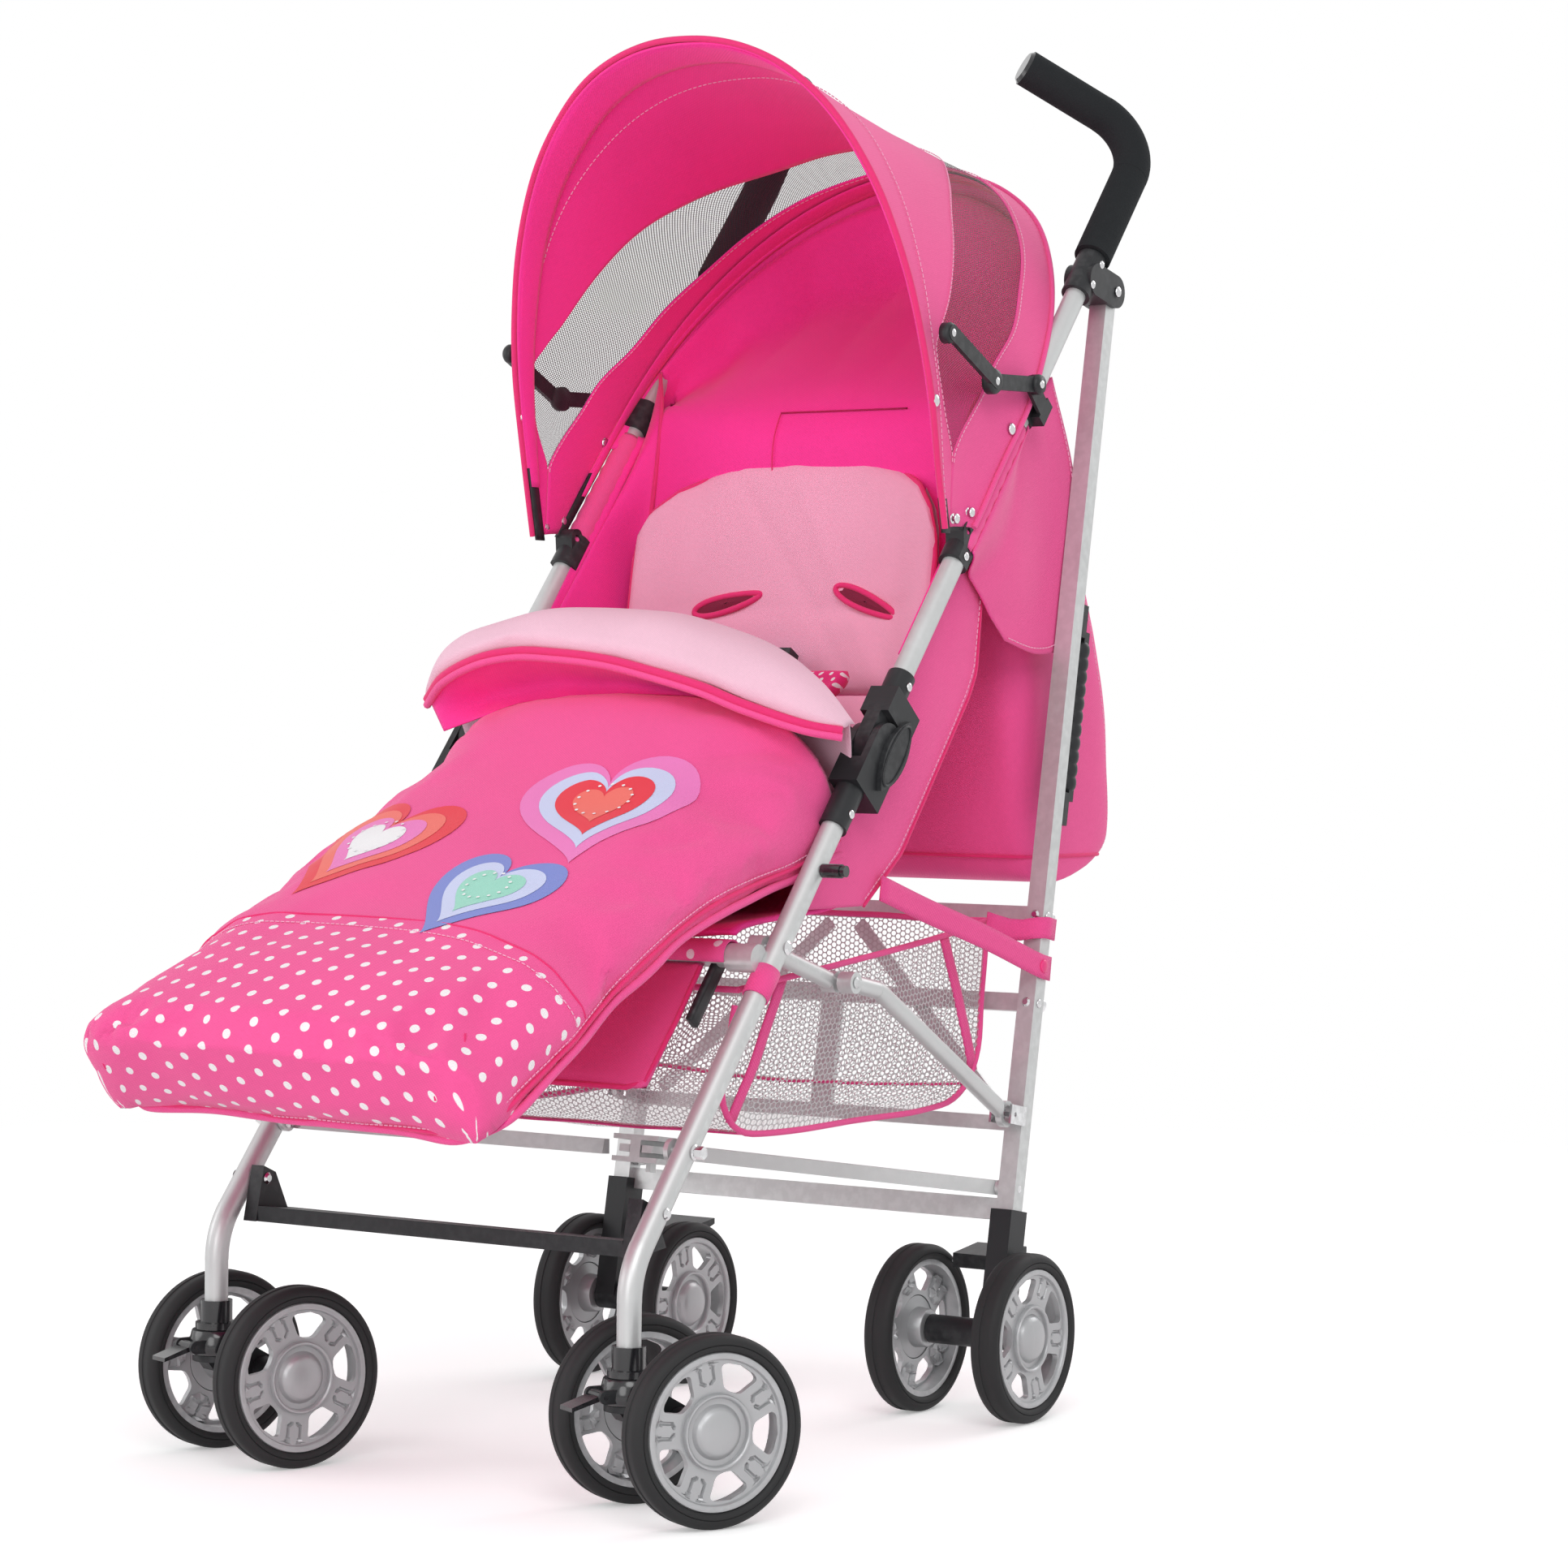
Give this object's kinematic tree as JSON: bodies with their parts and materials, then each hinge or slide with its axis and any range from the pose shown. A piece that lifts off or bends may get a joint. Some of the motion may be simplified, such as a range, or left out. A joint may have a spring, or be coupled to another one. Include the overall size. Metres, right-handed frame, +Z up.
{
  "type": "baby stroller",
  "caption": "Umbrella-fold baby stroller with twin caster wheels, reclining seat, footmuff, arched canopy, mesh basket and two foam grips.",
  "frame": {"origin": "middle of the bounding box, on the floor under the wheels", "axes": "+X to the child's left, +Y to the rear (the handles), +Z up"},
  "size_m": [0.5676, 1.0036, 1.1604],
  "materials": {
    "silver_tube": "satin anodised",
    "black_plastic": "moulded",
    "glossy_black": "polished",
    "foam": "closed-cell foam",
    "steel": "zinc plated",
    "wheel": "silver-grey moulding with a black soft tread",
    "pink_cloth": "woven",
    "deep_pink_cloth": "woven",
    "light_pink_cloth": "padded",
    "pink_plastic": "moulded",
    "mesh": "open mesh"
  },
  "bodies": {
    "chassis": {"front_tubes": "silver_tube", "lower_joints": "black_plastic", "seat_bar": "silver_tube", "frame_rivets": "steel", "caster_collars": "glossy_black", "fold_stud": "glossy_black", "seat": "deep_pink_cloth", "harness": "deep_pink_cloth", "buckle": "black_plastic", "footmuff": "pink_cloth", "footmuff_flap": "light_pink_cloth", "basket": "mesh", "seat_liner": "light_pink_cloth"},
    "upper_frame": {"push_tubes": "silver_tube", "upper_joints": "black_plastic", "joint_pads": "black_plastic", "grips": "foam", "grip_plugs": "glossy_black", "handle_brackets": "black_plastic", "canopy_clamps": "black_plastic", "stay_clamps": "black_plastic", "rear_bow": "black_plastic", "canopy": "pink_cloth", "rear_hood": "pink_cloth", "back_pouch": "pink_cloth", "seat_sides": "deep_pink_cloth"},
    "rear_frame": {"rear_legs": "silver_tube", "rear_bars": "silver_tube", "rear_braces": "silver_tube", "rear_housings": "black_plastic", "rear_axles": "steel", "rear_rivets": "steel", "carry_handle": "black_plastic"},
    "side_struts": {"seat_rails": "silver_tube", "seat_struts": "silver_tube"},
    "front_brace": {"front_arms": "silver_tube", "hub": "silver_tube"},
    "rear_brace": {"rear_arms": "silver_tube"},
    "foot_board": {"footrest": "black_plastic"},
    "calf_support": {"calf_rest": "pink_cloth"},
    "backrest": {"seat_back": "deep_pink_cloth"},
    "hood_front": {"front_bow": "black_plastic"},
    "hood_rear_stays": {"rear_stays": "black_plastic"},
    "hood_front_stays": {"front_stays": "black_plastic"},
    "brakes": {"brake_pedals": "black_plastic"},
    "harness_button": {"buckle_button": "pink_plastic"},
    "left_caster": {"left_caster_fork": "black_plastic", "left_caster_axle": "steel"},
    "right_caster": {"right_caster_fork": "black_plastic", "right_caster_axle": "steel"},
    "left_lock": {"left_swivel_lock": "black_plastic"},
    "right_lock": {"right_swivel_lock": "black_plastic"},
    "left_front_outer_wheel_body": {"left_front_outer_wheel": "wheel"},
    "left_front_inner_wheel_body": {"left_front_inner_wheel": "wheel"},
    "right_front_outer_wheel_body": {"right_front_outer_wheel": "wheel"},
    "right_front_inner_wheel_body": {"right_front_inner_wheel": "wheel"},
    "left_rear_outer_wheel_body": {"left_rear_outer_wheel": "wheel"},
    "left_rear_inner_wheel_body": {"left_rear_inner_wheel": "wheel"},
    "right_rear_outer_wheel_body": {"right_rear_outer_wheel": "wheel"},
    "right_rear_inner_wheel_body": {"right_rear_inner_wheel": "wheel"}
  },
  "joints": [
    {"name": "fold", "type": "hinge", "parent": "chassis", "child": "upper_frame", "pos_m": [-0.01654, 0.01164, 0.55598], "axis": [1, 0, 0], "range_deg": [0, 28], "deforming": ["seat_liner", "back_pouch", "basket"]},
    {"name": "leg_fold", "type": "hinge", "parent": "upper_frame", "child": "rear_frame", "pos_m": [-0.01654, 0.37802, 0.94842], "axis": [1, 0, 0], "range_deg": [-7.8, 0]},
    {"name": "strut_fold", "type": "hinge", "parent": "chassis", "child": "side_struts", "pos_m": [-0.01654, -0.12428, 0.40571], "axis": [1, 0, 0], "range_deg": [0, 19.1]},
    {"name": "front_brace_fold", "type": "hinge", "parent": "chassis", "child": "front_brace", "pos_m": [-0.01654, -0.24679, 0.26049], "axis": [1, 0, 0], "range_deg": [0, 15]},
    {"name": "rear_brace_fold", "type": "hinge", "parent": "rear_frame", "child": "rear_brace", "pos_m": [-0.01654, 0.23601, 0.1896], "axis": [1, 0, 0], "range_deg": [-6.8, 0]},
    {"name": "footrest_fold", "type": "hinge", "parent": "chassis", "child": "foot_board", "pos_m": [-0.01654, -0.28225, 0.21845], "axis": [1, 0, 0], "range_deg": [0, 90]},
    {"name": "calf_tilt", "type": "hinge", "parent": "chassis", "child": "calf_support", "pos_m": [-0.01654, -0.14775, 0.39804], "axis": [1, 0, 0], "range_deg": [0, 14]},
    {"name": "recline", "type": "hinge", "parent": "upper_frame", "child": "backrest", "pos_m": [-0.01654, 0.18722, 0.606], "axis": [1, 0, 0], "range_deg": [-28, 0], "deforming": ["seat_liner", "back_pouch"]},
    {"name": "hood_fold", "type": "hinge", "parent": "upper_frame", "child": "hood_front", "pos_m": [-0.01654, 0.1382, 0.73299], "axis": [1, 0, 0], "range_deg": [-40, 0], "deforming": ["canopy"]},
    {"name": "rear_stay_fold", "type": "hinge", "parent": "upper_frame", "child": "hood_rear_stays", "pos_m": [-0.01654, 0.22572, 0.8575], "axis": [1, 0, 0], "range_deg": [0, 41.1]},
    {"name": "front_stay_fold", "type": "hinge", "parent": "hood_rear_stays", "child": "hood_front_stays", "pos_m": [-0.01654, 0.15222, 0.8547], "axis": [1, 0, 0], "range_deg": [-127.9, 0]},
    {"name": "brake", "type": "hinge", "parent": "rear_frame", "child": "brakes", "pos_m": [-0.01654, 0.24825, 0.12456], "axis": [1, 0, 0], "range_deg": [-12, 0]},
    {"name": "buckle_press", "type": "slide", "parent": "chassis", "child": "harness_button", "axis": [0, 0.866, -0.5], "range_m": [0, 0.003], "stiffness_N_per_m": 800},
    {"name": "left_swivel", "type": "hinge", "parent": "chassis", "child": "left_caster", "pos_m": [0.17846, -0.31578, 0.09], "axis": [0, 0, 1], "continuous": true},
    {"name": "left_lock_turn", "type": "hinge", "parent": "left_caster", "child": "left_lock", "pos_m": [0.1676, -0.3383, 0.092], "axis": [0.9007, -0.4344, 0], "range_deg": [0, 14]},
    {"name": "left_front_outer_spin", "type": "hinge", "parent": "left_caster", "child": "left_front_outer_wheel_body", "pos_m": [0.24451, -0.30545, 0.07], "axis": [0.9007, -0.4344, 0], "continuous": true},
    {"name": "left_front_inner_spin", "type": "hinge", "parent": "left_caster", "child": "left_front_inner_wheel_body", "pos_m": [0.14543, -0.25766, 0.07], "axis": [0.9007, -0.4344, 0], "continuous": true},
    {"name": "left_rear_outer_spin", "type": "hinge", "parent": "rear_frame", "child": "left_rear_outer_wheel_body", "pos_m": [0.20446, 0.21363, 0.07], "axis": [1, 0, 0], "continuous": true},
    {"name": "left_rear_inner_spin", "type": "hinge", "parent": "rear_frame", "child": "left_rear_inner_wheel_body", "pos_m": [0.10246, 0.21363, 0.07], "axis": [1, 0, 0], "continuous": true},
    {"name": "right_swivel", "type": "hinge", "parent": "chassis", "child": "right_caster", "pos_m": [-0.21154, -0.31578, 0.09], "axis": [0, 0, 1], "continuous": true},
    {"name": "right_lock_turn", "type": "hinge", "parent": "right_caster", "child": "right_lock", "pos_m": [-0.2191, -0.33961, 0.092], "axis": [0.9532, -0.3024, 0], "range_deg": [0, 14]},
    {"name": "right_front_outer_spin", "type": "hinge", "parent": "right_caster", "child": "right_front_outer_wheel_body", "pos_m": [-0.25248, -0.26293, 0.07], "axis": [0.9532, -0.3024, 0], "continuous": true},
    {"name": "right_front_inner_spin", "type": "hinge", "parent": "right_caster", "child": "right_front_inner_wheel_body", "pos_m": [-0.14762, -0.29619, 0.07], "axis": [0.9532, -0.3024, 0], "continuous": true},
    {"name": "right_rear_outer_spin", "type": "hinge", "parent": "rear_frame", "child": "right_rear_outer_wheel_body", "pos_m": [-0.23754, 0.21363, 0.07], "axis": [1, 0, 0], "continuous": true},
    {"name": "right_rear_inner_spin", "type": "hinge", "parent": "rear_frame", "child": "right_rear_inner_wheel_body", "pos_m": [-0.13554, 0.21363, 0.07], "axis": [1, 0, 0], "continuous": true}
  ],
  "couplings": [
    {"joint": "leg_fold", "follows": "fold", "ratio": -0.2592},
    {"joint": "strut_fold", "follows": "fold", "ratio": 0.6651},
    {"joint": "front_brace_fold", "follows": "fold", "ratio": 0.5168},
    {"joint": "rear_brace_fold", "follows": "fold", "ratio": -0.2239},
    {"joint": "rear_stay_fold", "follows": "hood_fold", "ratio": -1.0144},
    {"joint": "front_stay_fold", "follows": "hood_fold", "ratio": 3.1861}
  ]
}
